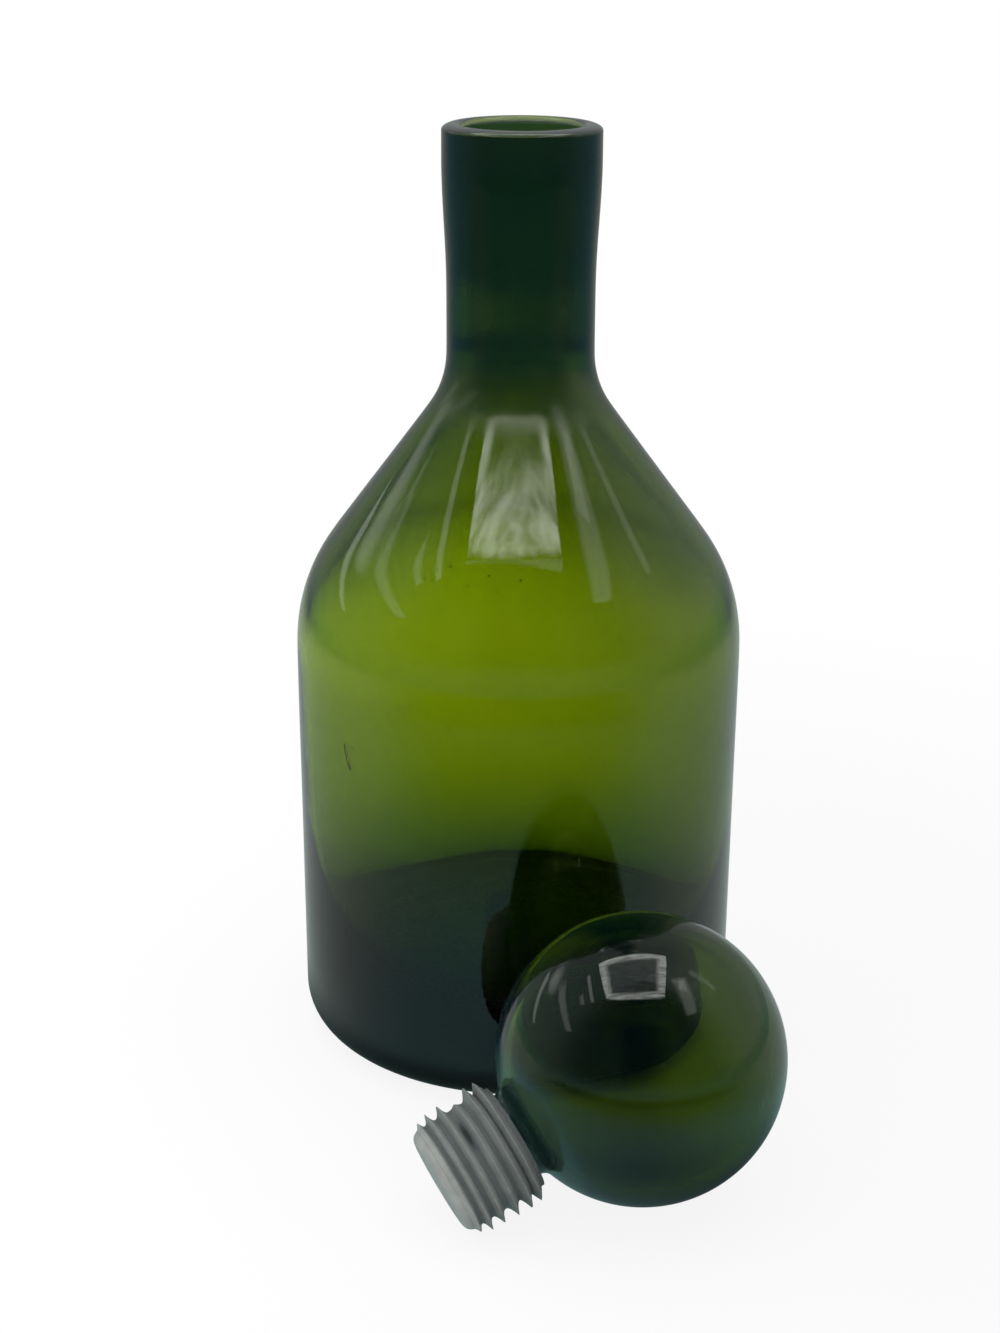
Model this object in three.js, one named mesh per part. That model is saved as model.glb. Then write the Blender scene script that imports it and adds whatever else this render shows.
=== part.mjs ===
// A hand-blown glass decanter with its ball stopper taken off and lying on the table in front of it.
// Millimetres, +Z up. The origin is the centre of the bottle's flat base, on the table.
import * as THREE from 'three';

const { degToRad, lerp } = THREE.MathUtils;

// Bottle, outside
const BODY_HEIGHT = 99.3; // base to the start of the shoulder
const BODY_FOOT_RADIUS = 52.5; // just above the rounded heel
const BODY_TOP_RADIUS = 53.0; // where the shoulder starts
const HEEL_ROUND = 11.0;
const SHOULDER_ROUND = 42.7;
const CONE_ANGLE = degToRad(37.0); // the cone's side from the vertical
const NECK_ROUND = 21.2; // hollow bend between cone and neck
const NECK_STRAIGHT = 14.6; // from that bend to the flare
const FLARE_LENGTH = 29.0; // where the neck widens to the rim
const RIM_BAND = 6.4; // straight stretch under the lip
const LIP_ROUND = 1.6; // height of the fire-rounded lip
const LIP_CREST_SHARE = 0.35; // place of the lip's crest across the rim wall, from the bore

// Bottle, inside
const MOUTH_RADIUS = 13.6; // bore just under the lip
const THROAT_RADIUS = 12.4; // bore at the foot of the neck
const RIM_WALL = 4.55;
const NECK_WALL = 4.65;
const SHOULDER_WALL = 2.9; // square to the cone
const BODY_WALL_TOP = 2.1;
const BODY_WALL_FOOT = 2.4; // just above the glass gathered at the heel
const BASE_THICKNESS = 24.0;
const INNER_HEEL_WIDTH = 6.0; // how far the gathered glass reaches in from the wall
const INNER_HEEL_HEIGHT = 40.0; // how far it reaches up the wall

// Stopper ball and stem
const BALL_RADIUS = 31.3;
const BALL_WALL = 3.6;
const STEM_WALL = 6.5;
const STEM_ROOT_ROUND = 2.4; // hollow bend between ball and stem
const STEM_END_ROUND = 0.8;

// Seal sleeve
const FIN_COUNT = 6;
const FIN_PITCH = 2.88;
const FIN_HEIGHT = 1.6; // of a fin that would fill the mouth
const FIN_ROOT_WIDTH = 1.7;
const FIN_TIP_WIDTH = 0.5;
const SLEEVE_BACK_BAND = 1.85; // back edge to the first fin
const SLEEVE_END_BAND = 2.6; // last fin to the closed end
const SLEEVE_END_ROUND = 1.6;
const SLEEVE_WALL = 1.9;
const SLEEVE_END_WALL = 3.8;

// Fits
const SEAL_CLEARANCE = 0.3; // fin tips to the neck's bore, when closed
const STEM_CLEARANCE = 0.3; // stem to sleeve

// Where the stopper lies
const STOPPER_GAP = 3.2; // ball to the bottle's body
const STOPPER_BEARING = degToRad(-72.5); // ball's direction from the bottle's axis
const STOPPER_HEADING = degToRad(22.2); // the stem's turn from -X towards -Y

// Facets
const BOTTLE_SIDES = 48;
const STOPPER_SIDES = 32;
const ARC_STEPS = 5;
const HEEL_STEPS = 8;
const SPHERE_STEPS = 13;

const QUARTER = Math.PI / 2;

const point = (radius, height) => new THREE.Vector2(radius, height);

// Points of an elliptic arc about (radius, height), with angles from the outward direction.
function arc(radius, height, halfWidth, halfHeight, from, to, steps = ARC_STEPS) {
  return Array.from({ length: steps + 1 }, (_, i) => {
    const angle = lerp(from, to, i / steps);
    return point(radius + halfWidth * Math.cos(angle), height + halfHeight * Math.sin(angle));
  });
}

// A solid of revolution about +Z, from a profile that starts and ends on the axis.
function turned(name, profile, sides, look) {
  const geometry = new THREE.LatheGeometry(profile, sides).rotateX(QUARTER);
  const mesh = new THREE.Mesh(geometry, new THREE.MeshStandardMaterial(look));
  mesh.name = name;
  return mesh;
}

// How far a shoulder's cone lies from the origin, square to its side.
function coneReach(bodyRadius, startHeight, round) {
  return (bodyRadius - round) * Math.cos(CONE_ANGLE) + round + startHeight * Math.sin(CONE_ANGLE);
}

// Shoulder, cone and hollow bend up to a neck, for the outside or the inside of the bottle.
function shoulder(bodyRadius, startHeight, round, neckRadius, neckRound) {
  const drawnIn = 1 - Math.cos(CONE_ANGLE);
  const coneFoot = bodyRadius - round * drawnIn;
  const coneTop = neckRadius + neckRound * drawnIn;
  const coneHeight = (coneFoot - coneTop) / Math.tan(CONE_ANGLE);
  const bendHeight = startHeight + (round + neckRound) * Math.sin(CONE_ANGLE) + coneHeight;
  return {
    bendHeight,
    points: [
      ...arc(bodyRadius - round, startHeight, round, round, 0, CONE_ANGLE),
      ...arc(neckRadius + neckRound, bendHeight, neckRound, neckRound, Math.PI + CONE_ANGLE, Math.PI),
    ],
  };
}

// Outside of the bottle
const neckRadius = THROAT_RADIUS + NECK_WALL;
const rimRadius = MOUTH_RADIUS + RIM_WALL;
const crestRadius = MOUTH_RADIUS + RIM_WALL * LIP_CREST_SHARE;
const outerShoulder = shoulder(BODY_TOP_RADIUS, BODY_HEIGHT, SHOULDER_ROUND, neckRadius, NECK_ROUND);
const flareHeight = outerShoulder.bendHeight + NECK_STRAIGHT;
const lipHeight = flareHeight + FLARE_LENGTH + RIM_BAND;
const rimHeight = lipHeight + LIP_ROUND;

// Inside of the bottle, its cone SHOULDER_WALL under the outer one
const innerRadius = BODY_TOP_RADIUS - BODY_WALL_TOP;
const innerFootRadius = BODY_FOOT_RADIUS - BODY_WALL_FOOT;
const innerRound = SHOULDER_ROUND - BODY_WALL_TOP;
const innerReach = coneReach(BODY_TOP_RADIUS, BODY_HEIGHT, SHOULDER_ROUND) - SHOULDER_WALL;
const innerStart = (innerReach - coneReach(innerRadius, 0, innerRound)) / Math.sin(CONE_ANGLE);
const innerShoulder = shoulder(innerRadius, innerStart, innerRound, THROAT_RADIUS, NECK_ROUND + NECK_WALL);

// The bore widens evenly from throat to mouth.
function boreRadius(height) {
  const rise = (height - innerShoulder.bendHeight) / (lipHeight - innerShoulder.bendHeight);
  return lerp(THROAT_RADIUS, MOUTH_RADIUS, rise);
}

// The neck widens to the rim in a gentle S.
function flare() {
  return Array.from({ length: ARC_STEPS + 1 }, (_, i) => {
    const rise = i / ARC_STEPS;
    const widening = (1 - Math.cos(Math.PI * rise)) / 2;
    return point(lerp(neckRadius, rimRadius, widening), flareHeight + FLARE_LENGTH * rise);
  });
}

function makeBottle() {
  const heelCentre = BODY_FOOT_RADIUS - HEEL_ROUND;
  const innerHeelCentre = innerFootRadius - INNER_HEEL_WIDTH;
  const innerHeelTop = BASE_THICKNESS + INNER_HEEL_HEIGHT;
  const profile = [
    point(0, 0),
    ...arc(heelCentre, HEEL_ROUND, HEEL_ROUND, HEEL_ROUND, -QUARTER, 0),
    ...outerShoulder.points,
    ...flare(),
    ...arc(crestRadius, lipHeight, rimRadius - crestRadius, LIP_ROUND, 0, QUARTER),
    ...arc(crestRadius, lipHeight, crestRadius - MOUTH_RADIUS, LIP_ROUND, QUARTER, Math.PI).slice(1),
    ...innerShoulder.points.toReversed(),
    ...arc(innerHeelCentre, innerHeelTop, INNER_HEEL_WIDTH, INNER_HEEL_HEIGHT, 0, -QUARTER, HEEL_STEPS),
    point(0, BASE_THICKNESS),
  ];
  return turned('bottle', profile, BOTTLE_SIDES, { color: 0x5f7a0c, roughness: 0.05, metalness: 0 });
}

// The stopper's own frame has the ball's centre at its origin and the stem pointing down.
// Depths run down from there. When it closes the bottle, the ball sits on the crest of the lip.
const lipDepth = Math.sqrt(BALL_RADIUS ** 2 - crestRadius ** 2);
const coreRadius = MOUTH_RADIUS - SEAL_CLEARANCE - FIN_HEIGHT;
const socketRadius = coreRadius - SLEEVE_WALL;
const stemRadius = socketRadius - STEM_CLEARANCE;
const stemBore = stemRadius - STEM_WALL;
const stemRootDepth = Math.sqrt((BALL_RADIUS + STEM_ROOT_ROUND) ** 2 - (stemRadius + STEM_ROOT_ROUND) ** 2);
const sleeveBackDepth = stemRootDepth + STEM_CLEARANCE;
const firstFinDepth = sleeveBackDepth + SLEEVE_BACK_BAND;
const lastFinDepth = firstFinDepth + (FIN_COUNT - 1) * FIN_PITCH;
const sleeveEndDepth = lastFinDepth + SLEEVE_END_BAND;
const socketDepth = sleeveEndDepth - SLEEVE_END_WALL;
const stemEndDepth = socketDepth - STEM_CLEARANCE;

// A fin's tip follows the bore where the fin sits when the bottle is closed.
function finRadius(depth) {
  return boreRadius(rimHeight + lipDepth - depth) - SEAL_CLEARANCE;
}

// Hollow ball, open through its stem
function makeBall() {
  const hollowRadius = BALL_RADIUS - BALL_WALL;
  const boreAngle = Math.acos(stemBore / hollowRadius);
  const rootAngle = Math.acos((stemRadius + STEM_ROOT_ROUND) / (BALL_RADIUS + STEM_ROOT_ROUND));
  const endCentre = stemRadius - STEM_END_ROUND;
  const endHeight = STEM_END_ROUND - stemEndDepth;
  const rootCentre = stemRadius + STEM_ROOT_ROUND;
  const profile = [
    point(0, hollowRadius),
    ...arc(0, 0, hollowRadius, hollowRadius, QUARTER, -boreAngle, SPHERE_STEPS).slice(1),
    point(stemBore, -stemEndDepth),
    ...arc(endCentre, endHeight, STEM_END_ROUND, STEM_END_ROUND, -QUARTER, 0, 2),
    ...arc(rootCentre, -stemRootDepth, STEM_ROOT_ROUND, STEM_ROOT_ROUND, Math.PI, Math.PI - rootAngle, 4),
    ...arc(0, 0, BALL_RADIUS, BALL_RADIUS, -rootAngle, QUARTER, SPHERE_STEPS).slice(1, -1),
    point(0, BALL_RADIUS),
  ];
  return turned('stopper_ball', profile, STOPPER_SIDES, { color: 0x33520f, roughness: 0.05, metalness: 0 });
}

// Finned cup over the stem
function makeSleeve() {
  const endRound = Math.min(SLEEVE_END_ROUND, SLEEVE_END_BAND - FIN_ROOT_WIDTH / 2);
  const fins = Array.from({ length: FIN_COUNT }, (_, i) => {
    const depth = lastFinDepth - i * FIN_PITCH;
    return [
      point(coreRadius, -depth - FIN_ROOT_WIDTH / 2),
      point(finRadius(depth), -depth - FIN_TIP_WIDTH / 2),
      point(finRadius(depth), -depth + FIN_TIP_WIDTH / 2),
      point(coreRadius, -depth + FIN_ROOT_WIDTH / 2),
    ];
  });
  const profile = [
    point(0, -sleeveEndDepth),
    ...arc(coreRadius - endRound, endRound - sleeveEndDepth, endRound, endRound, -QUARTER, 0, 4),
    ...fins.flat(),
    point(coreRadius, -sleeveBackDepth),
    point(socketRadius, -sleeveBackDepth),
    point(socketRadius, -socketDepth),
    point(0, -socketDepth),
  ];
  return turned('seal_sleeve', profile, STOPPER_SIDES, { color: 0xa7aca6, roughness: 0.45, metalness: 0 });
}

// The stopper lies on its ball and on the tip of its last fin.
function makeStopper() {
  const restDepth = lastFinDepth + FIN_TIP_WIDTH / 2;
  const restRadius = finRadius(lastFinDepth);
  const tilt = Math.asin(BALL_RADIUS / Math.hypot(restDepth, restRadius)) - Math.atan2(restRadius, restDepth);
  const rise = (BALL_RADIUS - HEEL_ROUND) / (BODY_HEIGHT - HEEL_ROUND);
  const reach = lerp(BODY_FOOT_RADIUS, BODY_TOP_RADIUS, rise) + STOPPER_GAP + BALL_RADIUS;
  const stopper = new THREE.Group();
  stopper.add(makeBall(), makeSleeve());
  stopper.position.set(reach * Math.cos(STOPPER_BEARING), reach * Math.sin(STOPPER_BEARING), BALL_RADIUS);
  stopper.rotation.set(0, QUARTER - tilt, STOPPER_HEADING, 'ZYX');
  return stopper;
}

const decanter = new THREE.Group();
decanter.add(makeBottle(), makeStopper());

export default decanter;
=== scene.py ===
"""A decanter of hand-blown green glass, with its ball stopper taken off and lying in front of it.

Metres, +Z up. The origin is the centre of the bottle's base, on the table, and -Y is the front.
"""
import math
import random

import bmesh
import bpy
from mathutils import Matrix, Vector, noise


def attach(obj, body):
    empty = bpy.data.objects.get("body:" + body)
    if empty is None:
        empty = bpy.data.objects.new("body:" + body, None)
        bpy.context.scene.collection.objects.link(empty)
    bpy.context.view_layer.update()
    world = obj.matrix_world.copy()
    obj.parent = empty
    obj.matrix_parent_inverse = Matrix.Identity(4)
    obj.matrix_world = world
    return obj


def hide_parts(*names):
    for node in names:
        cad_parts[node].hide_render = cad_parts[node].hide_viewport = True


MM = 0.001
QUARTER = math.pi / 2

# Bottle, outside
BODY_HEIGHT = 99.3 * MM
BODY_FOOT_RADIUS = 52.5 * MM
BODY_TOP_RADIUS = 53.0 * MM
HEEL_ROUND = 11.0 * MM
SHOULDER_ROUND = 42.7 * MM
CONE_ANGLE = math.radians(37.0)
NECK_ROUND = 21.2 * MM
NECK_STRAIGHT = 14.6 * MM
FLARE_LENGTH = 29.0 * MM
FLARE_STEPS = 16
RIM_BAND = 6.4 * MM
LIP_ROUND = 1.6 * MM
LIP_CREST_SHARE = 0.35

# Bottle, inside
MOUTH_RADIUS = 13.6 * MM
THROAT_RADIUS = 12.4 * MM
RIM_WALL = 4.55 * MM
NECK_WALL = 4.65 * MM
SHOULDER_WALL = 2.9 * MM
BODY_WALL_TOP = 2.1 * MM
BODY_WALL_FOOT = 2.4 * MM
BASE_THICKNESS = 24.0 * MM
INNER_HEEL_WIDTH = 6.0 * MM
INNER_HEEL_HEIGHT = 40.0 * MM

# Stopper ball and stem
BALL_RADIUS = 31.3 * MM
BALL_WALL = 3.6 * MM
STEM_RADIUS = 9.5 * MM
STEM_WALL = 6.5 * MM
STEM_ROOT_ROUND = 2.4 * MM
STEM_END_ROUND = 0.8 * MM
STEM_CLEARANCE = 0.3 * MM

# Seal sleeve, with depths from the ball's centre along the stem
SLEEVE_CORE_RADIUS = 11.7 * MM
SLEEVE_WALL = 1.9 * MM
SLEEVE_END_WALL = 3.8 * MM
SLEEVE_END_ROUND = 2.0 * MM
SLEEVE_BACK_DEPTH = 31.83 * MM
SLEEVE_END_DEPTH = 50.68 * MM

# Where the stopper lies
STOPPER_GAP = 3.2 * MM
STOPPER_BEARING = math.radians(-72.5)
STOPPER_HEADING = math.radians(22.2)
STOPPER_TILT = math.radians(23.908)

# Camera, fitted to the outline in the photograph
CAMERA_PLACE = Vector((-4.37, -499.1, 259.7)) * MM
CAMERA_PITCH = math.radians(18.62)
CAMERA_ROLL = math.radians(0.28)
CAMERA_LENS = 58.84
CAMERA_SENSOR_WIDTH = 36.0

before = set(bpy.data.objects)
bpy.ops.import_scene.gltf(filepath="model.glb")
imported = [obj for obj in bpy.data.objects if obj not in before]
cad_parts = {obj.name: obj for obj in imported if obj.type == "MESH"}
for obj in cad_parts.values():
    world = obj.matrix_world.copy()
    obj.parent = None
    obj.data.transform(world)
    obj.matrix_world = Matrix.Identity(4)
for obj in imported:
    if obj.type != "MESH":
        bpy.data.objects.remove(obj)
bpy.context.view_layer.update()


def lerp(a, b, share):
    return a + (b - a) * share


def arc(radius, height, half_width, half_height, start, end, steps=16):
    """Points of an elliptic arc about (radius, height), with angles from the outward direction."""
    angles = [lerp(start, end, i / steps) for i in range(steps + 1)]
    return [(radius + half_width * math.cos(a), height + half_height * math.sin(a)) for a in angles]


def refined(outline, step):
    """The outline with points added so that none lie further apart than step."""
    points = [outline[0]]
    for (r0, h0), (r1, h1) in zip(outline, outline[1:]):
        pieces = max(1, math.ceil(math.hypot(r1 - r0, h1 - h0) / step))
        points += [(lerp(r0, r1, i / pieces), lerp(h0, h1, i / pieces)) for i in range(1, pieces + 1)]
    return points


def eased(outline, passes, lowest, highest):
    """The outline with the bends between two heights softened."""
    points = list(outline)
    for _ in range(passes):
        before = points[:]
        for i in range(1, len(points) - 1):
            if lowest < before[i][1] < highest:
                near = [before[i - 1], before[i], before[i], before[i + 1]]
                points[i] = tuple(sum(values) / 4 for values in zip(*near))
    return points


def radius_at(outline, height):
    """Radius of an outline that rises with its height."""
    for (r0, h0), (r1, h1) in zip(outline, outline[1:]):
        if h0 <= height <= h1 and h1 > h0:
            return lerp(r0, r1, (height - h0) / (h1 - h0))
    raise ValueError(f"no outline at {height}")


def turned(outline, sides, uneven=None):
    """A closed mesh of revolution about +Z, whose outline starts and ends on the axis.

    uneven(index, radius, height, angle) gives a point's own radius and height.
    """
    mesh = bmesh.new()
    rings = []
    for index, (radius, height) in enumerate(outline):
        if radius < 1e-9:
            rings.append([mesh.verts.new((0, 0, height))] * sides)
            continue
        ring = []
        for side in range(sides):
            angle = 2 * math.pi * side / sides
            r, h = uneven(index, radius, height, angle) if uneven else (radius, height)
            ring.append(mesh.verts.new((r * math.cos(angle), r * math.sin(angle), h)))
        rings.append(ring)
    for low, high in zip(rings, rings[1:]):
        for side in range(sides):
            after = (side + 1) % sides
            corners = [low[side], low[after], high[after], high[side]]
            mesh.faces.new(list(dict.fromkeys(corners)))
    bmesh.ops.recalc_face_normals(mesh, faces=mesh.faces)
    return mesh


def add_object(name, mesh, material):
    """A smooth-shaded object made from a bmesh."""
    for face in mesh.faces:
        face.smooth = True
    data = bpy.data.meshes.new(name)
    mesh.to_mesh(data)
    mesh.free()
    data.materials.append(material)
    obj = bpy.data.objects.new(name, data)
    bpy.context.scene.collection.objects.link(obj)
    return obj


# Materials

class Nodes:
    """Adds nodes to a tree and links them, with inputs given by name, or by number as i0 or i1."""

    def __init__(self, tree):
        self.tree = tree
        tree.nodes.clear()

    def add(self, kind, settings=None, **inputs):
        node = self.tree.nodes.new("ShaderNode" + kind)
        for key, value in (settings or {}).items():
            setattr(node, key, value)
        for key, value in inputs.items():
            self.put(node, key.replace("_", " "), value)
        return node

    def put(self, node, key, value):
        numbered = key[0] == "i" and key[1:].isdigit()
        socket = node.inputs[int(key[1:]) if numbered else key]
        if isinstance(value, bpy.types.NodeSocket):
            self.tree.links.new(value, socket)
        else:
            socket.default_value = value

    def math(self, operation, a, b=0.0, clamp=False):
        return self.add("Math", {"operation": operation, "use_clamp": clamp}, i0=a, i1=b).outputs[0]

    def times(self, a, b):
        return self.math("MULTIPLY", a, b)

    def ramp(self, value, low, high, to_low=0.0, to_high=1.0):
        """A smooth step of a value between two levels."""
        node = self.add("MapRange", {"interpolation_type": "SMOOTHSTEP"}, Value=value)
        levels = {"From Min": low, "From Max": high, "To Min": to_low, "To Max": to_high}
        for key, level in levels.items():
            node.inputs[key].default_value = level
        return node.outputs[0]

    def mix(self, share, a, b):
        node = self.add("Mix", {"data_type": "RGBA"})
        for socket, value in ((node.inputs[0], share), (node.inputs[6], a), (node.inputs[7], b)):
            if isinstance(value, bpy.types.NodeSocket):
                self.tree.links.new(value, socket)
            else:
                socket.default_value = value
        return node.outputs[2]


def new_material(name):
    material = bpy.data.materials.new(name)
    material.use_nodes = True
    return material, Nodes(material.node_tree)


def flat_length(nodes, spot):
    """Distance of a spot from the Z axis."""
    flat = nodes.add("CombineXYZ", X=spot["X"], Y=spot["Y"]).outputs[0]
    return nodes.add("VectorMath", {"operation": "LENGTH"}, i0=flat).outputs["Value"]


def share_of(nodes, part, whole):
    """A part of a length as a share of it, also where the length is nothing."""
    return nodes.math("DIVIDE", part, nodes.math("MAXIMUM", whole, 0.001))


GLASS_IOR = 1.52
GLASS_TINT = (0.751, 0.807, 0.0, 1.0)
GLASS_DENSITY = 1500.0
SMEAR_ROUGHNESS = 0.045

# Foot of the neck, roughened by tools: heights over which that starts and ends
TOOLED_START = (150 * MM, 157 * MM)
TOOLED_END = (172 * MM, 164 * MM)
TOOLED_ROUGHNESS = 0.2

# Dull grey glass on the lip and just inside the mouth
LIP_GREY_HEIGHTS = (217.6 * MM, 219.0 * MM)
LIP_GREY_SHARE = 0.40
MOUTH_GREY_HEIGHTS = (205 * MM, 214 * MM)
MOUTH_GREY_RADII = (15 * MM, 14 * MM)
MOUTH_GREY_SHARE = 0.13
LIP_GREY = (0.14, 0.15, 0.16, 1.0)

# Painted reflection on the ball, a faint bluish veil, and the ground surface of its stem, whose teal is
# partly painted reflection of the table; the ground surface starts at a depth from the ball's centre
GROUND_DEPTHS = (23.5 * MM, 27.5 * MM)
GROUND_SHARE = 0.05
GROUND_AND_REFLECTION_COLOUR = (0.20, 0.53, 0.46, 1.0)
PAINTED_VEIL_SHARE = 0.003
PAINTED_VEIL_COLOUR = (0.05, 0.25, 0.85, 1.0)


def grey_lip(nodes, place):
    """Share and colour of the dull glass on the lip and just inside the mouth."""
    spot = nodes.add("SeparateXYZ", Vector=place).outputs
    lip = nodes.ramp(spot["Z"], *LIP_GREY_HEIGHTS, 0.0, LIP_GREY_SHARE)
    mouth = nodes.ramp(spot["Z"], *MOUTH_GREY_HEIGHTS, 0.0, MOUTH_GREY_SHARE)
    inside = nodes.times(nodes.ramp(flat_length(nodes, spot), *MOUTH_GREY_RADII), mouth)
    return nodes.math("MAXIMUM", lip, inside), LIP_GREY


def painted_veil_and_ground_stem(nodes, place):
    """Share and colour of the painted bluish veil of reflection on the ball, and of the ground surface of
    its stem, tinted teal as a painted reflection.
    """
    lie = stopper_place()
    offset = nodes.add("VectorMath", {"operation": "SUBTRACT"}, i0=place, i1=lie.translation).outputs[0]
    down = lie.to_3x3() @ Vector((0, 0, -1))
    depth = nodes.add("VectorMath", {"operation": "DOT_PRODUCT"}, i0=offset, i1=down).outputs["Value"]
    colour = nodes.mix(nodes.ramp(depth, *GROUND_DEPTHS), PAINTED_VEIL_COLOUR, GROUND_AND_REFLECTION_COLOUR)
    return nodes.ramp(depth, *GROUND_DEPTHS, PAINTED_VEIL_SHARE, GROUND_SHARE), colour


def make_glass(name, diffuse_layer):
    """Olive green glass with faint waves and smears. diffuse_layer gives the share and colour of a
    diffuse film over it, which on the ball is painted reflection.
    """
    material, nodes = new_material(name)
    place = nodes.add("TexCoord").outputs["Object"]
    waves = nodes.add("TexNoise", Vector=place, Scale=90.0, Detail=2.0)
    smears = nodes.add("TexNoise", Vector=place, Scale=38.0, Detail=5.0, Roughness=0.62)
    bump = nodes.add("Bump", Strength=0.02, Distance=1 * MM, Height=waves.outputs[0])
    height = nodes.add("SeparateXYZ", Vector=place).outputs["Z"]
    tooled_end = nodes.ramp(height, *TOOLED_END, 0.0, TOOLED_ROUGHNESS)
    tooled = nodes.times(nodes.ramp(height, *TOOLED_START), tooled_end)
    smeared = nodes.ramp(smears.outputs[0], 0.45, 0.8, 0.0, SMEAR_ROUGHNESS)
    glass = nodes.add(
        "BsdfPrincipled",
        Base_Color=(1.0, 1.0, 1.0, 1.0),
        Roughness=nodes.math("ADD", smeared, tooled),
        IOR=GLASS_IOR,
        Transmission_Weight=1.0,
        Normal=bump.outputs[0],
    )
    tint = nodes.add("VolumeAbsorption", Color=GLASS_TINT, Density=GLASS_DENSITY)
    share, colour = diffuse_layer(nodes, place)
    # A diffuse film over the glass: grey on the bottle's lip, a painted reflection on the ball
    film = nodes.add("BsdfDiffuse", Color=colour)
    surface = nodes.add("MixShader", i0=share, i1=glass.outputs[0], i2=film.outputs[0])
    nodes.add("OutputMaterial", Surface=surface.outputs[0], Volume=tint.outputs[0])
    return material


# The plastic's own colours, a stain, and the painted shade of its grooves
PLASTIC_CLEAN = ((0.33, 0.35, 0.34, 1), (0.42, 0.44, 0.42, 1))
PLASTIC_STAIN = (0.04, 0.045, 0.045, 1)
PLASTIC_GROOVE_SHADE = (0.15, 0.172, 0.172, 1)


def make_plastic():
    """Whitish polyethylene that lets some light through, with painted shade in its grooves and towards
    the ball, and stains.
    """
    material, nodes = new_material("seal_plastic")
    place = nodes.add("TexCoord").outputs["Object"]
    cloud = nodes.add("TexNoise", Vector=place, Scale=240.0, Detail=4.0)
    grain = nodes.add("TexNoise", Vector=place, Scale=1800.0, Detail=2.0)
    rise = nodes.add("Attribute", {"attribute_name": "rise"}).outputs["Fac"]
    clean = nodes.mix(nodes.ramp(cloud.outputs[0], 0.3, 0.7), *PLASTIC_CLEAN)
    # Painted shade: darker in the grooves and towards the ball, by the rise attribute; where it is below
    # 0, a stain
    stain_and_groove_shade = nodes.mix(nodes.ramp(rise, -0.9, 0.0), PLASTIC_STAIN, PLASTIC_GROOVE_SHADE)
    bump = nodes.add("Bump", Strength=0.25, Distance=0.2 * MM, Height=grain.outputs[0])
    plastic = nodes.add(
        "BsdfPrincipled",
        Base_Color=nodes.mix(nodes.ramp(rise, 0.0, 1.0), stain_and_groove_shade, clean),
        Roughness=nodes.ramp(cloud.outputs[0], 0.2, 0.8, 0.4, 0.55),
        IOR=1.5,
        Specular_IOR_Level=0.1,
        Transmission_Weight=0.2,
        Normal=bump.outputs[0],
    )
    nodes.add("OutputMaterial", Surface=plastic.outputs[0])
    return material


# Bottle

def shoulder(body_radius, start_height, round_radius, angle, neck_radius, neck_round):
    """Outline of shoulder, cone and hollow bend, and the height where the neck starts."""
    drawn_in = 1 - math.cos(angle)
    cone_foot = body_radius - round_radius * drawn_in
    cone_top = neck_radius + neck_round * drawn_in
    cone_height = (cone_foot - cone_top) / math.tan(angle)
    bend_height = start_height + (round_radius + neck_round) * math.sin(angle) + cone_height
    outline = arc(body_radius - round_radius, start_height, round_radius, round_radius, 0, angle)
    bend = (neck_radius + neck_round, bend_height, neck_round, neck_round)
    return outline + arc(*bend, math.pi + angle, math.pi), bend_height


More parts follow.
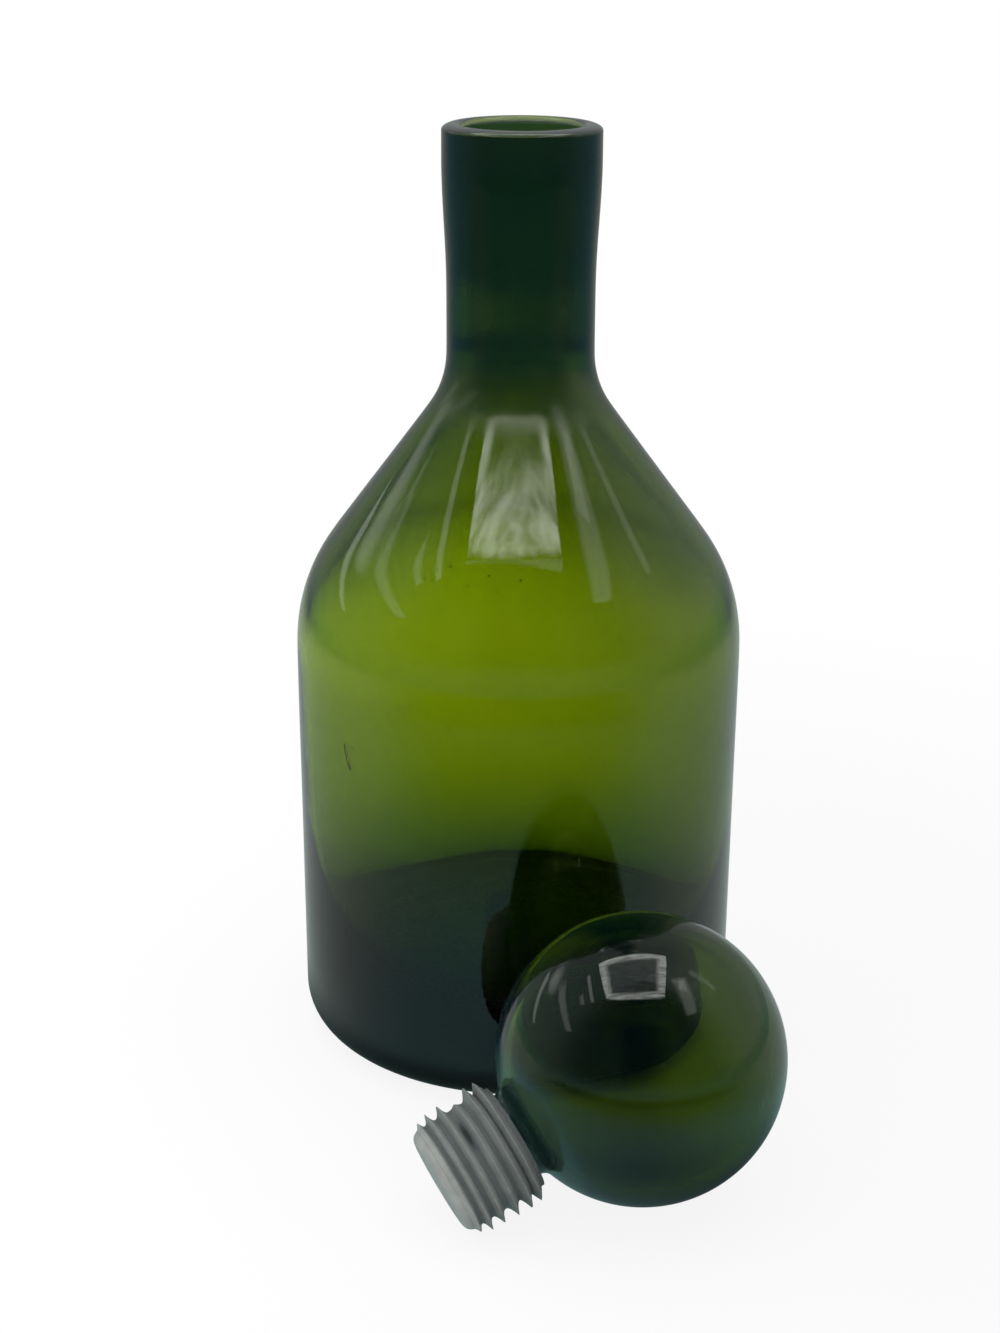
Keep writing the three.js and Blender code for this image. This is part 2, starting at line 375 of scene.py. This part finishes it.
def bottle_outlines():
    """Outer outline from the heel and inner outline from the base, each up to the lip."""
    neck_radius = THROAT_RADIUS + NECK_WALL
    rim_radius = MOUTH_RADIUS + RIM_WALL
    crest_radius = MOUTH_RADIUS + RIM_WALL * LIP_CREST_SHARE
    outer_shoulder, bend = shoulder(
        BODY_TOP_RADIUS, BODY_HEIGHT, SHOULDER_ROUND, CONE_ANGLE, neck_radius, NECK_ROUND)
    flare_height = bend + NECK_STRAIGHT
    lip_height = flare_height + FLARE_LENGTH + RIM_BAND
    flare = []
    for i in range(FLARE_STEPS + 1):
        rise = i / FLARE_STEPS
        widened = (1 - math.cos(math.pi * rise)) / 2
        flare.append((lerp(neck_radius, rim_radius, widened), flare_height + FLARE_LENGTH * rise))
    heel = arc(BODY_FOOT_RADIUS - HEEL_ROUND, HEEL_ROUND, HEEL_ROUND, HEEL_ROUND, -QUARTER, 0)
    lip_outside = arc(crest_radius, lip_height, rim_radius - crest_radius, LIP_ROUND, 0, QUARTER, 10)
    lip_foot = lip_height - LIP_ROUND / 4
    outer = heel + outer_shoulder + flare + [(rim_radius, lip_foot)] + lip_outside

    inner_radius = BODY_TOP_RADIUS - BODY_WALL_TOP
    inner_foot = BODY_FOOT_RADIUS - BODY_WALL_FOOT
    round_foot = SHOULDER_ROUND - SHOULDER_WALL
    foot_radius = BODY_TOP_RADIUS - SHOULDER_ROUND + round_foot * math.cos(CONE_ANGLE)
    foot_height = BODY_HEIGHT + round_foot * math.sin(CONE_ANGLE)
    inner_round = SHOULDER_ROUND - BODY_WALL_TOP
    turned_in = inner_radius - inner_round * (1 - math.cos(CONE_ANGLE)) - foot_radius
    rise = inner_round * math.sin(CONE_ANGLE) + turned_in / math.tan(CONE_ANGLE)
    inner_start = foot_height - rise
    inner_bend = NECK_ROUND + NECK_WALL
    inner_shoulder, _ = shoulder(
        inner_radius, inner_start, inner_round, CONE_ANGLE, THROAT_RADIUS, inner_bend)
    heel_centre = (inner_foot - INNER_HEEL_WIDTH, BASE_THICKNESS + INNER_HEEL_HEIGHT)
    inner_heel = arc(*heel_centre, INNER_HEEL_WIDTH, INNER_HEEL_HEIGHT, -QUARTER, 0, 24)
    lip_reach = crest_radius - MOUTH_RADIUS
    lip_inside = arc(crest_radius, lip_height, lip_reach, LIP_ROUND, math.pi, QUARTER, 8)
    inner = inner_heel + inner_shoulder + [(MOUTH_RADIUS, lip_foot)] + lip_inside[:-1]
    return outer, inner


BOTTLE_SIDES = 144
BOTTLE_STEP = 2.2 * MM
BEND_PASSES = 4
OUTER_WAVE = 0.07 * MM
INNER_WAVE = 0.22 * MM
WAVE_SIZE = 34 * MM
LIP_TILT = 1.0 * MM

# Seeds seen in the front wall: bearing from the front in degrees, height and width in mm
SEEDS = (
    (-21.8, 127.2, 0.50),
    (-25.9, 126.3, 0.40),
    (-15.3, 124.0, 0.45),
    (-9.4, 126.1, 0.45),
    (0.1, 125.4, 0.55),
    (-6.7, 123.2, 0.40),
    (-8.1, 133.1, 0.50),
    (-5.8, 130.5, 0.55),
)
SEED_LENGTH = 1.3

# Smaller seeds all over
SCATTER_COUNT = 70
SCATTER_DRAW = 11
SCATTER_HEIGHTS = (30 * MM, 132 * MM)
SCATTER_WIDTHS = (0.16 * MM, 0.42 * MM)

# A drawn-out bubble on the left, as the seeds: bearing, height, depth, width, length, lean in degrees
STREAKS = (
    (-48.3, 81.4, 1.2, 1.05, 6.6, 19),
)


def wall_frame(outer, inner, bearing, height):
    """The wall's middle at a bearing from the front and a height, with X pointing out of the wall."""
    radius = (radius_at(outer, height) + radius_at(inner, height)) / 2
    around = bearing - QUARTER
    place = Vector((radius * math.cos(around), radius * math.sin(around), height))
    return Matrix.Translation(place) @ Matrix.Rotation(around, 4, "Z")


def add_bubble(mesh, frame_matrix, depth, width, length, lean=0.0):
    """A bubble in the glass: a small hollow, whose faces look into it."""
    size = Matrix.Diagonal((depth / 2, width / 2, length / 2, 1))
    matrix = frame_matrix @ Matrix.Rotation(lean, 4, "X") @ size
    made = bmesh.ops.create_icosphere(mesh, subdivisions=2, radius=1, matrix=matrix)
    faces = {face for vert in made["verts"] for face in vert.link_faces}
    bmesh.ops.reverse_faces(mesh, faces=list(faces))


def make_bottle(material):
    """The bottle, with the waves of blown glass on both sides of its wall and bubbles inside it."""
    outer, inner = bottle_outlines()
    rim_height = outer[-1][1]
    bends = (BEND_PASSES, BODY_HEIGHT / 2, rim_height - 2 * RIM_BAND)
    outside = eased(refined([(0, 0)] + outer, BOTTLE_STEP), *bends)
    inside = eased(refined(inner[::-1] + [(0, BASE_THICKNESS)], BOTTLE_STEP), *bends)

    def uneven(index, radius, height, angle):
        at = Vector((radius * math.cos(angle), radius * math.sin(angle), height)) / WAVE_SIZE
        near_rim = max(0, 1 - (rim_height - height) / (RIM_BAND + LIP_ROUND))
        sunk = LIP_TILT * near_rim * (1 - math.sin(angle)) / 2
        if index < len(outside):
            rise = min(1, height / (2 * HEEL_ROUND))
            return radius + OUTER_WAVE * rise * noise.noise(at), height - sunk
        wave = noise.noise(at + Vector((7.3, 2.1, 4.4)))
        return radius + INNER_WAVE * wave * min(1, radius / THROAT_RADIUS), height - sunk

    mesh = turned(outside + inside, BOTTLE_SIDES, uneven)
    for bearing, height, width in SEEDS:
        spot = wall_frame(outer, inner, math.radians(bearing), height * MM)
        add_bubble(mesh, spot, width * MM, width * MM, SEED_LENGTH * width * MM)
    for bearing, height, depth, width, length, lean in STREAKS:
        spot = wall_frame(outer, inner, math.radians(bearing), height * MM)
        add_bubble(mesh, spot, depth * MM, width * MM, length * MM, math.radians(lean))
    chance = random.Random(SCATTER_DRAW)
    for _ in range(SCATTER_COUNT):
        bearing = chance.uniform(-math.pi, math.pi)
        height = lerp(*SCATTER_HEIGHTS, chance.random() ** 0.8)
        width = lerp(*SCATTER_WIDTHS, chance.random() ** 2)
        spot = wall_frame(outer, inner, bearing, height)
        add_bubble(mesh, spot, width, width * chance.uniform(0.9, 1.6), width)
    return add_object("glass_bottle", mesh, material)


# Stopper

STOPPER_SIDES = 160
BALL_RIPPLE = 0.03 * MM
BALL_RIPPLE_SIZE = 9 * MM
HOLLOW_SWELL = 0.006
HOLLOW_WAVE_SIZE = 18 * MM


def stopper_place():
    """The stopper's own frame: the ball's centre at its origin and the stem pointing down."""
    rise = (BALL_RADIUS - HEEL_ROUND) / (BODY_HEIGHT - HEEL_ROUND)
    reach = lerp(BODY_FOOT_RADIUS, BODY_TOP_RADIUS, rise) + STOPPER_GAP + BALL_RADIUS
    centre = Vector((reach * math.cos(STOPPER_BEARING), reach * math.sin(STOPPER_BEARING), BALL_RADIUS))
    turn = Matrix.Rotation(STOPPER_HEADING, 4, "Z") @ Matrix.Rotation(QUARTER - STOPPER_TILT, 4, "Y")
    return Matrix.Translation(centre) @ turn


def make_ball(material):
    """The hollow ball with its stem, whose bore is open at the end."""
    hollow = BALL_RADIUS - BALL_WALL
    bore = STEM_RADIUS - STEM_WALL
    bore_angle = math.acos(bore / hollow)
    root_centre = STEM_RADIUS + STEM_ROOT_ROUND
    root_angle = math.acos(root_centre / (BALL_RADIUS + STEM_ROOT_ROUND))
    root_depth = math.sqrt((BALL_RADIUS + STEM_ROOT_ROUND) ** 2 - root_centre ** 2)
    stem_end = SLEEVE_END_DEPTH - SLEEVE_END_WALL - STEM_CLEARANCE
    end_centre = (STEM_RADIUS - STEM_END_ROUND, STEM_END_ROUND - stem_end)
    inside = arc(0, 0, hollow, hollow, QUARTER, -bore_angle, 64)
    inside[0] = (0, hollow)
    outside = arc(*end_centre, STEM_END_ROUND, STEM_END_ROUND, -QUARTER, 0, 5)
    root_turn = (math.pi, math.pi - root_angle)
    outside += arc(root_centre, -root_depth, STEM_ROOT_ROUND, STEM_ROOT_ROUND, *root_turn, 10)
    outside += arc(0, 0, BALL_RADIUS, BALL_RADIUS, -root_angle, QUARTER, 72)[1:-1] + [(0, BALL_RADIUS)]
    hollow_points = refined(inside + [(bore, -stem_end)], BOTTLE_STEP)
    stem_top = BALL_RADIUS * math.sin(root_angle)

    def uneven(index, radius, height, angle):
        at = Vector((radius * math.cos(angle), radius * math.sin(angle), height))
        if index < len(hollow_points):
            swell = 1 + HOLLOW_SWELL * noise.noise(at / HOLLOW_WAVE_SIZE)
        elif height > -stem_top:
            swell = 1 + BALL_RIPPLE / BALL_RADIUS * noise.noise(at / BALL_RIPPLE_SIZE)
        else:
            swell = 1
        return radius * swell, height * swell

    mesh = turned(hollow_points + refined(outside, BOTTLE_STEP), STOPPER_SIDES, uneven)
    mesh.transform(stopper_place())
    return add_object("glass_ball_stopper", mesh, material)


# Fins from the closed end to the ball: depth, tip radius and half width in mm, sharpness of the tip
FINS = (
    (48.1, 12.9, 1.05, 1.8),
    (45.8, 13.8, 1.20, 1.8),
    (42.9, 13.9, 1.45, 1.8),
    (39.5, 14.1, 1.65, 1.8),
    (36.3, 14.3, 1.55, 1.5),
    (33.8, 14.1, 1.25, 0.9),
)
FIN_POINTS = 7
FIN_RAGGED = 0.30 * MM
FIN_LEAN = 0.22 * MM

# How often the fins' edges waver in a turn, coarsely and finely, and lean to and fro
RAGGED_COARSE = 7
RAGGED_FINE = 19
LEAN_TURNS = 2

# The fin that is worn down on one side
WORN_FIN = 3
WORN_SIDE = math.radians(147)
WORN_SPREAD = math.radians(34)
WORN_SHARE = 0.75

# A stain between two fins, and painted shade: how lit the fins are painted above the shaded grooves, from
# darker near the ball to lighter at the end
STAIN_DEPTH = 41.2 * MM
STAIN_SIDE = math.radians(205)
STAIN_SPREAD = math.radians(18)
STAIN_LENGTH = 0.8 * MM
GROOVE_SHADE_RISE = 0.7 * MM
PAINTED_LIGHT_AT_BALL = 0.35
PAINTED_LIGHT_AT_END = 0.75


def groove_shade_and_stain(place):
    """How lit a spot on the sleeve is painted, up to 1: painted shade in the grooves and towards the
    ball, and below 0 where stained.
    """
    radius = math.hypot(place.x, place.y)
    depth = -place.z
    if depth > FINS[0][0] * MM:
        return 1.0
    off_side = math.remainder(math.atan2(place.y, place.x) - STAIN_SIDE, 2 * math.pi) / STAIN_SPREAD
    off_depth = (depth - STAIN_DEPTH) / STAIN_LENGTH
    stain = math.exp(-off_side * off_side - off_depth * off_depth)
    on_fin = max(0.0, min(1.0, (radius - SLEEVE_CORE_RADIUS) / GROOVE_SHADE_RISE))
    to_end = (depth - SLEEVE_BACK_DEPTH) / (SLEEVE_END_DEPTH - SLEEVE_BACK_DEPTH)
    return on_fin * lerp(PAINTED_LIGHT_AT_BALL, PAINTED_LIGHT_AT_END, to_end) - stain


def make_sleeve(material):
    """The seal: a cup with ragged fins, one of them worn down on one side."""
    socket = SLEEVE_CORE_RADIUS - SLEEVE_WALL
    end_round = SLEEVE_END_ROUND
    corner = (SLEEVE_CORE_RADIUS - end_round, end_round - SLEEVE_END_DEPTH)
    outline = [(0, -SLEEVE_END_DEPTH)] + arc(*corner, end_round, end_round, -QUARTER, 0, 10)
    marks = {}
    for number, (depth, tip, half_width, sharpness) in enumerate(FINS):
        for i in range(-FIN_POINTS, FIN_POINTS + 1):
            share = (1 - abs(i) / FIN_POINTS) ** sharpness
            marks[len(outline)] = (number, share)
            rise = (tip * MM - SLEEVE_CORE_RADIUS) * share
            outline.append((SLEEVE_CORE_RADIUS + rise, (i / FIN_POINTS * half_width - depth) * MM))
    back = [
        (SLEEVE_CORE_RADIUS, -SLEEVE_BACK_DEPTH),
        (socket, -SLEEVE_BACK_DEPTH),
        (socket, SLEEVE_END_WALL - SLEEVE_END_DEPTH),
        (0, SLEEVE_END_WALL - SLEEVE_END_DEPTH),
    ]

    def uneven(index, radius, height, angle):
        if index not in marks:
            return radius, height
        number, share = marks[index]
        around = Vector((math.cos(angle), math.sin(angle), 0))
        ragged = noise.noise(around * RAGGED_COARSE + Vector((0, 0, 5.7 * number)))
        ragged += 0.6 * noise.noise(around * RAGGED_FINE + Vector((3, 0, 2.3 * number)))
        lean = noise.noise(around * LEAN_TURNS + Vector((0, 9, 3.1 * number)))
        off = math.remainder(angle - WORN_SIDE, 2 * math.pi) / WORN_SPREAD
        worn = WORN_SHARE * math.exp(-off * off) if number == WORN_FIN else 0
        rise = (radius - SLEEVE_CORE_RADIUS) * (1 - worn) + FIN_RAGGED * ragged * share
        return SLEEVE_CORE_RADIUS + max(rise, 0), height + FIN_LEAN * lean * share

    mesh = turned(outline + back, STOPPER_SIDES, uneven)
    # The rise attribute holds the painted shade of the grooves and towards the ball, and the stain
    rise = mesh.verts.layers.float.new("rise")
    for vert in mesh.verts:
        vert[rise] = groove_shade_and_stain(vert.co)
    mesh.transform(stopper_place())
    return add_object("finned_seal", mesh, material)


# Stage: distances in metres from the bottle's axis, and directions from -1 in front to 1 behind

FLOOR_RADIUS = 1.5
WHITE = (1, 1, 1, 1)
# Painted light on the table: its colour is lighter on the left and darker on the right, as if lit from
# the left
TABLE_LIT_LEFT = (0.90, 0.90, 0.90, 1)
TABLE_SHADED_RIGHT = (0.55, 0.55, 0.55, 1)

# What glass mirrors of the table
SHADE_FRONT = (0.25, 0.47, 0.47, 1)
SHADE_SIDE = (0.42, 0.49, 0.47, 1)
TABLE_GLOW = (0.15, 0.24, 0.05, 1)
CONTACT_SHADE = (0.05, 0.08, 0.08, 1)
CONTACT_SHIFT = 14 * MM

# What glass mirrors of the room
ROOM_DARK = (0.010, 0.016, 0.018, 1)
ROOM_DIM = (0.07, 0.16, 0.20, 1)
ROOM_HAZE = (0.004, 0.010, 0.060, 1)
WALL_LOW = (0.13, 0.27, 0.31, 1)
WALL_LEFT = (0.25, 0.33, 0.31, 1)
WALL_RIGHT = (0.44, 0.48, 0.47, 1)
WALL_BACK = (0.30, 0.33, 0.31, 1)

# What glass shows of the room behind it
BEHIND_MIDDLE = (0.03, 0.14, 0.16, 1)
BEHIND_SIDES = (0.60, 0.64, 0.60, 1)


def mirror_ray(nodes, path):
    """1 for a ray that was mirrored by a gloss, 0 for one that went through it."""
    return nodes.math("SUBTRACT", path["Is Glossy Ray"], path["Is Transmission Ray"], clamp=True)


def mirrored_floor(nodes, place, distance, back):
    """What glass mirrors of the table: the bottle's shade, paler aside, and a green glow past it."""
    shade = nodes.mix(nodes.ramp(back, -0.95, -0.1), SHADE_FRONT, SHADE_SIDE)
    reach = nodes.times(nodes.ramp(distance, 0.13, 0.26), nodes.ramp(distance, 0.33, 0.27))
    glow = nodes.times(reach, nodes.ramp(back, -0.25, -0.92))
    near = nodes.mix(glow, shade, TABLE_GLOW)
    far = nodes.mix(nodes.ramp(distance, 0.45, 0.65), ROOM_DARK, ROOM_DIM)
    ahead = nodes.times(nodes.ramp(distance, 0.265, 0.32), nodes.ramp(back, -0.15, -0.85))
    tinted = nodes.mix(ahead, near, far)
    centre = stopper_place().translation
    foot = (centre.x + CONTACT_SHIFT, centre.y, 0.0)
    from_ball = nodes.add("VectorMath", {"operation": "DISTANCE"}, i0=place, i1=foot).outputs["Value"]
    clear_of_ball = nodes.ramp(from_ball, 0.008, 0.065)
    contact = nodes.times(nodes.ramp(distance, 0.048, 0.075), clear_of_ball)
    return nodes.mix(contact, CONTACT_SHADE, tinted)


def refracted_floor(nodes, spot, distance, lit, clear):
    """What glass shows of the table behind it: painted pools of light on the left, and fading with
    distance.
    """
    aside = share_of(nodes, nodes.math("ABSOLUTE", spot["X"]), distance)
    fading = nodes.times(nodes.ramp(distance, 0.35, 1.15), nodes.ramp(aside, 0.10, 0.30, 1.0, 0.75))
    fading = nodes.times(fading, nodes.ramp(spot["X"], -0.30, -0.08, 0.5, 1.0))
    fading = nodes.math("MAXIMUM", fading, nodes.ramp(distance, 0.60, 1.10))
    # Painted light: emission adds pools of light on the table, behind the bottle and on the left
    pool = nodes.times(nodes.ramp(distance, 0.20, 0.34), nodes.ramp(distance, 0.75, 0.40))
    patch = nodes.times(pool, nodes.ramp(spot["X"], 0.07, -0.06, 0.0, 0.32))
    left = nodes.ramp(spot["X"], -0.07, -0.22, 0.0, 0.45)
    far_left = nodes.times(left, nodes.ramp(distance, 0.9, 0.5))
    glow = nodes.add("Emission", Strength=nodes.math("ADD", patch, far_left)).outputs[0]
    lighter = nodes.add("AddShader", i0=lit, i1=glow).outputs[0]
    return nodes.add("MixShader", i0=fading, i1=lighter, i2=clear).outputs[0]


def make_floor():
    """A pale round table top. Glass sees it fade with distance, and the camera sees it end in white."""
    mesh = bmesh.new()
    bmesh.ops.create_circle(mesh, cap_ends=True, segments=96, radius=FLOOR_RADIUS)
    material, nodes = new_material("floor")
    place = nodes.add("TexCoord").outputs["Object"]
    spot = nodes.add("SeparateXYZ", Vector=place).outputs
    distance = nodes.add("VectorMath", {"operation": "LENGTH"}, i0=place).outputs["Value"]
    back = share_of(nodes, spot["Y"], distance)
    path = nodes.add("LightPath").outputs
    # Painted light: the table's colour runs from lit on the left to shaded on the right
    painted_light_across = nodes.mix(nodes.ramp(spot["X"], -0.12, 0.12), TABLE_LIT_LEFT, TABLE_SHADED_RIGHT)
    lit = nodes.add("BsdfDiffuse", Color=painted_light_across).outputs[0]
    clear = nodes.add("BsdfTransparent").outputs[0]
    seen = refracted_floor(nodes, spot, distance, lit, clear)
    colour = mirrored_floor(nodes, place, distance, back)
    image = nodes.add("Emission", Color=colour, Strength=1.0).outputs[0]
    beside = nodes.times(nodes.ramp(distance, 0.45, 0.7), nodes.ramp(back, -0.85, -0.15))
    ending = nodes.math("MAXIMUM", beside, nodes.ramp(distance, 1.0, 1.4))
    mirrored = nodes.add("MixShader", i0=ending, i1=image, i2=clear).outputs[0]
    white = nodes.add("Emission", Strength=1.0).outputs[0]
    whiteness = nodes.ramp(distance, 0.1, 0.4, 0.88, 1.0)
    shown = nodes.add("MixShader", i0=whiteness, i1=lit, i2=white).outputs[0]
    surface = lit
    for share, shader in (
        (path["Is Transmission Ray"], seen),
        (mirror_ray(nodes, path), mirrored),
        (path["Is Camera Ray"], shown),
    ):
        surface = nodes.add("MixShader", i0=share, i1=surface, i2=shader).outputs[0]
    nodes.add("OutputMaterial", Surface=surface)
    add_object("floor", mesh, material)


def make_world():
    """Even soft light, with white behind for the camera and a dim room with pale sides for the glass."""
    world = bpy.data.worlds.new("studio")
    bpy.context.scene.world = world
    world.use_nodes = True
    nodes = Nodes(world.node_tree)
    way = nodes.add("SeparateXYZ", Vector=nodes.add("TexCoord").outputs["Generated"]).outputs
    back = share_of(nodes, way["Y"], flat_length(nodes, way))
    aside = nodes.math("ABSOLUTE", way["X"])
    band = nodes.times(nodes.ramp(way["Z"], -0.27, -0.11), nodes.ramp(way["Z"], 0.20, 0.0))
    level = nodes.times(nodes.ramp(way["Z"], 0.0, 0.2), nodes.ramp(way["Z"], 0.80, 0.55))
    haze = nodes.times(nodes.ramp(aside, 0.20, 0.45), level)
    front = nodes.mix(haze, nodes.mix(band, ROOM_DARK, ROOM_DIM), ROOM_HAZE)
    above = nodes.mix(nodes.ramp(way["X"], -0.2, 0.2), WALL_LEFT, WALL_RIGHT)
    side = nodes.mix(nodes.ramp(way["Z"], -0.10, 0.12), WALL_LOW, above)
    sides = nodes.mix(nodes.ramp(back, 0.5, 0.95), side, WALL_BACK)
    mirrored = nodes.mix(nodes.ramp(back, -0.75, 0.1), front, sides)
    path = nodes.add("LightPath").outputs
    fill = nodes.mix(mirror_ray(nodes, path), WHITE, mirrored)
    walls = nodes.times(nodes.ramp(aside, 0.20, 0.40), nodes.ramp(way["Z"], -0.12, 0.02))
    behind = nodes.mix(walls, BEHIND_MIDDLE, BEHIND_SIDES)
    through = nodes.mix(path["Is Transmission Ray"], fill, behind)
    shown = nodes.mix(path["Is Camera Ray"], through, WHITE)
    light = nodes.add("Background", Color=shown, Strength=1.0)
    nodes.add("OutputWorld", Surface=light.outputs[0])


LAMP_HEIGHT = 0.4
LAMP_COLOUR = (0.97, 1.0, 0.94, 1)
CLOTH_SCALE = (18.0, 75.0, 1.0)

# The frame lamp: half its size, the glow of its rim, middle and border, and the bow of its front edge
FRAME_HALF_WIDTH = 0.142
FRAME_HALF_LENGTH = 0.1405
FRAME_GLOW = 3.4
FRAME_MIDDLE_GLOW = 0.35
FRAME_BORDER_GLOW = 0.8
FRAME_BOW = 1.33
FRAME_BOW_CENTRE = 0.013
BORDER_BOW = 1.10
BORDER_BOW_CENTRE = 0.0275
BORDER_WIDTH = 0.0033

SIDE_GLOW = 1.0
SIDE_GLOW_RADII = (0.19, 0.04)


def add_panel(name, x, y, size, turn, level):
    """A glowing panel overhead, facing down. level(nodes, spot, cloth) gives its strength at a spot."""
    mesh = bmesh.new()
    bmesh.ops.create_grid(mesh, x_segments=1, y_segments=1, size=0.5)
    mesh.transform(Matrix.Diagonal((size[0], size[1], 1, 1)))
    material, nodes = new_material(name)
    place = nodes.add("TexCoord").outputs["Object"]
    spot = nodes.add("SeparateXYZ", Vector=place).outputs
    drawn = nodes.add("Mapping", Vector=place, Scale=CLOTH_SCALE).outputs[0]
    cloth = nodes.add("TexNoise", Vector=drawn, Scale=1.0, Detail=4.0, Roughness=0.6).outputs[0]
    unseen = nodes.add("LightPath").outputs["Is Transmission Ray"]
    strength = nodes.times(level(nodes, spot, cloth), nodes.math("SUBTRACT", 1.0, unseen))
    light = nodes.add("Emission", Color=LAMP_COLOUR, Strength=strength)
    clear = nodes.add("BsdfTransparent")
    shown = nodes.add("AddShader", i0=light.outputs[0], i1=clear.outputs[0])
    nodes.add("OutputMaterial", Surface=shown.outputs[0])
    panel = add_object(name, mesh, material)
    spin = Matrix.Rotation(math.radians(turn), 4, "Z")
    panel.matrix_world = Matrix.Translation((x, y, LAMP_HEIGHT)) @ spin
    panel.visible_camera = False
    panel.visible_shadow = False


def bowed_edge(nodes, spot, bow, centre, beyond):
    """Distance behind the frame's front edge, which is bowed about a centre line."""
    off = nodes.math("SUBTRACT", spot["X"], centre)
    sag = nodes.times(nodes.times(off, off), bow)
    return nodes.math("SUBTRACT", nodes.math("ADD", spot["Y"], FRAME_HALF_LENGTH + beyond), sag)


def frame_level(nodes, spot, cloth):
    """A soft glowing frame about a dim middle, with a paler border past its bowed front side."""
    front = bowed_edge(nodes, spot, FRAME_BOW, FRAME_BOW_CENTRE, 0.0)
    border = bowed_edge(nodes, spot, BORDER_BOW, BORDER_BOW_CENTRE, BORDER_WIDTH)
    back = nodes.math("SUBTRACT", FRAME_HALF_LENGTH, spot["Y"])
    aside = nodes.math("SUBTRACT", FRAME_HALF_WIDTH, nodes.math("ABSOLUTE", spot["X"]))
    inward = nodes.math("MINIMUM", nodes.math("MINIMUM", front, back), aside)
    uneven = nodes.math("ADD", inward, nodes.ramp(cloth, 0.3, 0.7, -0.001, 0.001))
    rim = nodes.ramp(uneven, 0.024, 0.054, FRAME_GLOW, FRAME_MIDDLE_GLOW)
    glow = nodes.times(nodes.ramp(uneven, 0.0003, 0.007), rim)
    mottled = nodes.times(glow, nodes.ramp(cloth, 0.3, 0.7, 0.45, 1.6))
    pale = nodes.ramp(border, 0.0, 0.004, 0.0, FRAME_BORDER_GLOW)
    past = nodes.times(pale, nodes.ramp(front, 0.0010, 0.0002))
    return nodes.math("ADD", mottled, nodes.times(past, nodes.ramp(aside, 0.0, 0.003)))


def strip_level(strength, half_width):
    """A soft strip with uneven edges."""
    def level(nodes, spot, cloth):
        across = nodes.math("DIVIDE", nodes.math("ABSOLUTE", spot["X"]), half_width)
        uneven = nodes.math("ADD", across, nodes.times(cloth, 0.3))
        return nodes.ramp(uneven, 1.14, 0.6, 0.0, strength)
    return level


def glow_level(nodes, spot, _cloth):
    """A wide dim glow, which fades out all around."""
    return nodes.ramp(flat_length(nodes, spot), *SIDE_GLOW_RADII, 0.0, SIDE_GLOW)


def add_strip(name, x, y, size, turn, strength):
    """A strip lamp at X and Y, with its width and length, turned by an angle in degrees."""
    add_panel(name, x, y, size, turn, strip_level(strength, size[0] / 2))


def make_lights():
    """Lamps that show in the glass: a window overhead, strips on both sides and glows on the left."""
    add_panel("lamp_frame", -0.015, -0.0700, (0.29, 0.30), 0, frame_level)
    add_strip("lamp_right", 0.240, -0.155, (0.105, 0.22), 33, 0.95)
    add_strip("lamp_right_spot", 0.205, -0.100, (0.055, 0.055), 20, 1.6)
    add_strip("lamp_far_right", 0.335, 0.004, (0.045, 0.20), 90, 0.6)
    add_strip("lamp_left", -0.232, -0.07, (0.030, 0.19), -6, 1.3)
    add_strip("lamp_left_short", -0.315, -0.105, (0.045, 0.07), -10, 0.9)
    add_strip("lamp_far_left", -0.540, -0.07, (0.13, 0.49), -27, 0.8)
    add_panel("lamp_side_left", -0.54, 0.29, (0.38, 0.38), 0, glow_level)
    add_strip("lamp_back_left", -1.30, 0.55, (0.24, 1.30), 90, 1.0)


def make_camera():
    """The camera at the photograph's place, looking down a little."""
    data = bpy.data.cameras.new("camera")
    data.lens = CAMERA_LENS
    data.sensor_width = CAMERA_SENSOR_WIDTH
    camera = bpy.data.objects.new("camera", data)
    turn = Matrix.Rotation(QUARTER - CAMERA_PITCH, 4, "X") @ Matrix.Rotation(CAMERA_ROLL, 4, "Z")
    camera.matrix_world = Matrix.Translation(CAMERA_PLACE) @ turn
    bpy.context.scene.collection.objects.link(camera)
    bpy.context.scene.camera = camera


make_camera()
glass = make_glass("green_glass", grey_lip)
ball_glass = make_glass("green_ball_glass", painted_veil_and_ground_stem)
plastic = make_plastic()
for piece, body, node, slot in (
    (make_bottle(glass), "bottle", "bottle", "green_glass"),
    (make_ball(ball_glass), "stopper", "stopper_ball", "green_glass"),
    (make_sleeve(plastic), "stopper", "seal_sleeve", "seal_plastic"),
):
    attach(piece, body)
    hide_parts(node)
make_floor()
make_world()
make_lights()
bpy.context.scene.view_settings.view_transform = "Standard"
